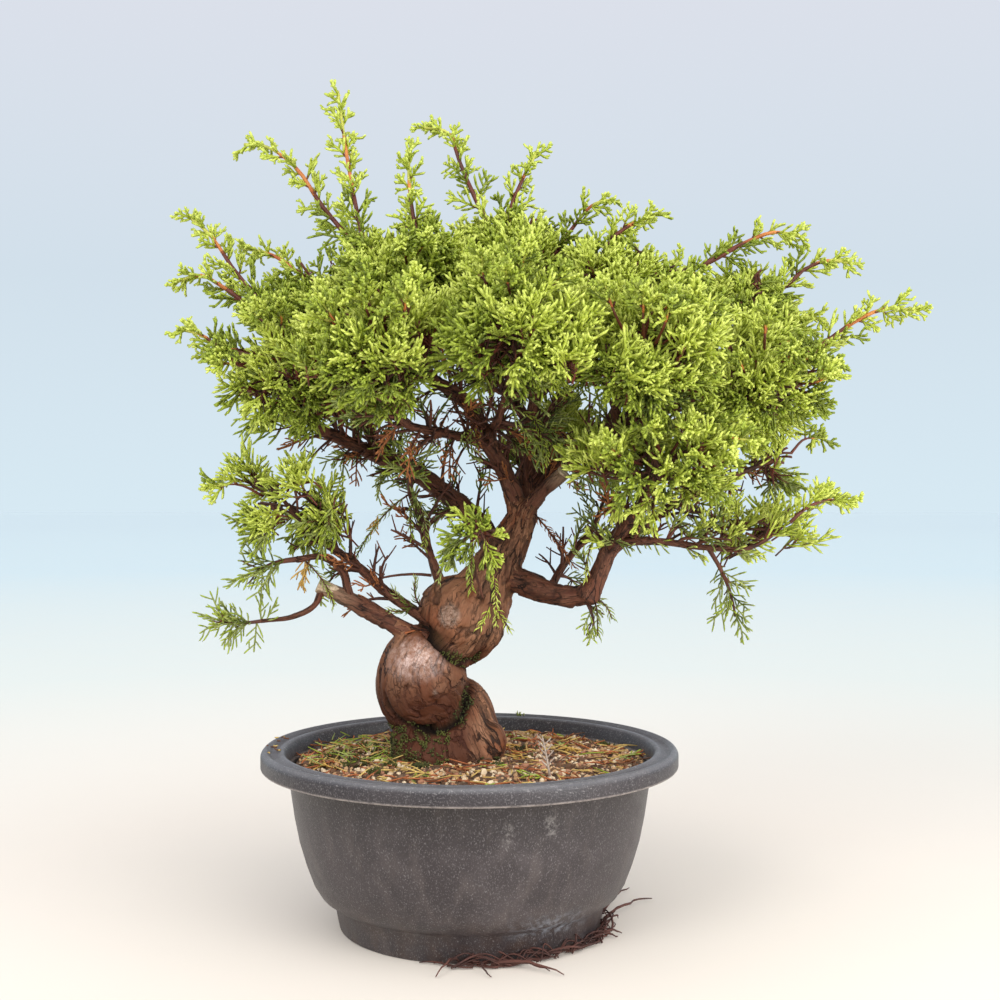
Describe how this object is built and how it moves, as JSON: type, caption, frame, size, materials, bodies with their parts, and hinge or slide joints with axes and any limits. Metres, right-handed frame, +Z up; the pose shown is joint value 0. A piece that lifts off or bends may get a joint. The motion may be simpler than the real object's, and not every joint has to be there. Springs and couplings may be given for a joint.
{
  "type": "potted juniper bonsai",
  "caption": "Chinese juniper bonsai with a short coiled trunk, spreading boughs and a dense crown of scale-leaved sprays, growing in gritty soil in a round plastic pot.",
  "frame": {"origin": "centre of the pot's flat underside, on the surface that it stands on", "axes": "+Z up along the tree's height; the tree's front, as it is displayed and pictured, faces -Y; +X is to the right seen from the front"},
  "size_m": [0.3178, 0.2233, 0.3611],
  "materials": {
    "pot_plastic": "satin",
    "soil_mix": "matte",
    "bark": "matte",
    "bough_bark": "matte",
    "foliage": "matte",
    "shade_foliage": "matte"
  },
  "bodies": {
    "root": {"pot": "pot_plastic", "soil": "soil_mix", "trunk": "bark", "left_stub": "bough_bark", "left_stub_rise": "bough_bark", "lowest_left_twig": "bough_bark", "left_low": "bough_bark", "left_riser": "bough_bark", "left_main": "bough_bark", "left_back": "bough_bark", "left_high": "bough_bark", "leader": "bough_bark", "front_left_bough": "bough_bark", "front_centre_bough": "bough_bark", "fork_stub": "bough_bark", "right_main": "bough_bark", "centre_riser": "bough_bark", "right_high": "bough_bark", "far_right_high": "bough_bark", "back_centre_bough": "bough_bark", "back_right_bough": "bough_bark", "back_far_right_bough": "bough_bark", "back_low_bough": "bough_bark", "front_right_bough": "bough_bark", "right_low": "bough_bark", "right_low_rise": "bough_bark", "right_low_out": "bough_bark", "right_low_mid": "bough_bark", "right_low_rear": "bough_bark", "crown_left": "foliage", "crown_left_high": "foliage", "crown_top_left": "foliage", "crown_top": "foliage", "front_left": "foliage", "front_centre": "foliage", "crown_right_high": "foliage", "crown_far_right_high": "foliage", "front_right": "foliage", "crown_right": "foliage", "crown_right_low": "foliage", "low_right": "foliage", "low_far_right": "foliage", "low_left": "foliage", "back_left": "foliage", "back_centre": "foliage", "back_right": "foliage", "back_far_right": "foliage", "back_low": "shade_foliage", "hanging_right": "foliage", "under_right": "foliage", "low_left_under": "shade_foliage", "lowest_left": "foliage", "trunk_front": "foliage", "inner_left": "shade_foliage", "inner_centre": "shade_foliage", "inner_right": "shade_foliage"}
  },
  "joints": []
}
